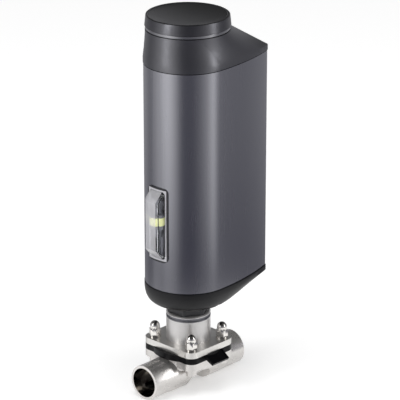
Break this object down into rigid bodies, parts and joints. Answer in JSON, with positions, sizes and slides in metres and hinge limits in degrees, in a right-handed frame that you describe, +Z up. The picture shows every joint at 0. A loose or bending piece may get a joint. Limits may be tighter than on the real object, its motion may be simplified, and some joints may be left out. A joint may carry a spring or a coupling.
{
  "type": "motorised diaphragm valve",
  "caption": "Motorised weir diaphragm valve with butt-weld ends, a stainless bonnet and a tall drive housing with position window and screw cap.",
  "frame": {"origin": "centre of the inlet weld end, on the pipe axis", "axes": "+X along the pipe from inlet to outlet, +Z up the spindle; the position window faces -X and the connectors face +X"},
  "size_m": [0.151, 0.0846, 0.3655],
  "materials": {
    "stainless_cast": "satin, fine blasted",
    "stainless_polished": "polished",
    "elastomer_black": "matt",
    "anodised_grey": "satin anodised, dark grey",
    "cover_black": "satin black",
    "cover_grey": "satin dark grey",
    "cap_black": "satin black",
    "light_guide": "frosted translucent",
    "window_clear": "clear, polished",
    "indicator_yellow": "satin",
    "indicator_black": "satin",
    "steel": "turned",
    "bronze": "turned",
    "cast_aluminium": "cast and machined",
    "laminated_steel": "laminated",
    "copper": "enamelled wire",
    "magnet": "nickel plated",
    "circuit_board": "solder mask",
    "connector_metal": "nickel plated"
  },
  "bodies": {
    "valve": {"valve_body": "stainless_cast", "diaphragm": "elastomer_black", "bonnet": "stainless_cast", "studs": "stainless_polished", "washers": "stainless_polished", "cap_nuts": "stainless_polished", "guide_bush": "bronze", "spindle_seal": "elastomer_black", "hex_adapter": "cover_black", "adapter_o_ring": "elastomer_black", "bottom_cover": "cover_black", "lower_gasket": "elastomer_black", "housing": "anodised_grey", "upper_gasket": "elastomer_black", "top_cover": "cover_grey", "tie_rods": "steel", "window_gasket": "elastomer_black", "window_bay": "window_clear", "motor_frame": "cast_aluminium", "frame_screws": "steel", "motor_cap": "cast_aluminium", "lower_bearing": "steel", "upper_bearing": "steel", "stator_core": "laminated_steel", "stator_windings": "copper", "encoder_board": "circuit_board", "encoder_pillars": "cast_aluminium", "main_board": "circuit_board", "board_bracket": "cast_aluminium", "power_connector": "connector_metal", "signal_connector": "connector_metal", "bus_connector": "connector_metal", "connector_nuts": "connector_metal", "override_bush": "bronze", "light_ring": "light_guide", "light_board": "circuit_board"},
    "rotor": {"rotor_shaft": "steel", "rotor_magnets": "magnet", "drive_nut": "bronze", "encoder_disc": "magnet", "override_shaft": "steel"},
    "spindle": {"spindle": "steel", "compressor": "cast_aluminium", "compressor_pin": "steel", "diaphragm_insert": "steel", "indicator_arm": "cast_aluminium", "indicator_carrier": "indicator_black", "indicator_sleeve": "indicator_yellow"},
    "cap": {"cap": "cap_black", "cap_seal": "elastomer_black"}
  },
  "joints": [
    {"name": "rotor_spin", "type": "hinge", "parent": "valve", "child": "rotor", "pos_m": [0.06, 0, 0], "axis": [0, 0, 1], "range_deg": [0, 1260]},
    {"name": "spindle_slide", "type": "slide", "parent": "valve", "child": "spindle", "axis": [0, 0, -1], "range_m": [0, 0.0141], "deforming": ["diaphragm"]},
    {"name": "cap_lift", "type": "slide", "parent": "valve", "child": "cap", "axis": [0, 0, 1], "range_m": [0, 0.03]}
  ],
  "couplings": [
    {"joint": "spindle_slide", "follows": "rotor_spin", "m_per_rad": 0.00063662}
  ]
}
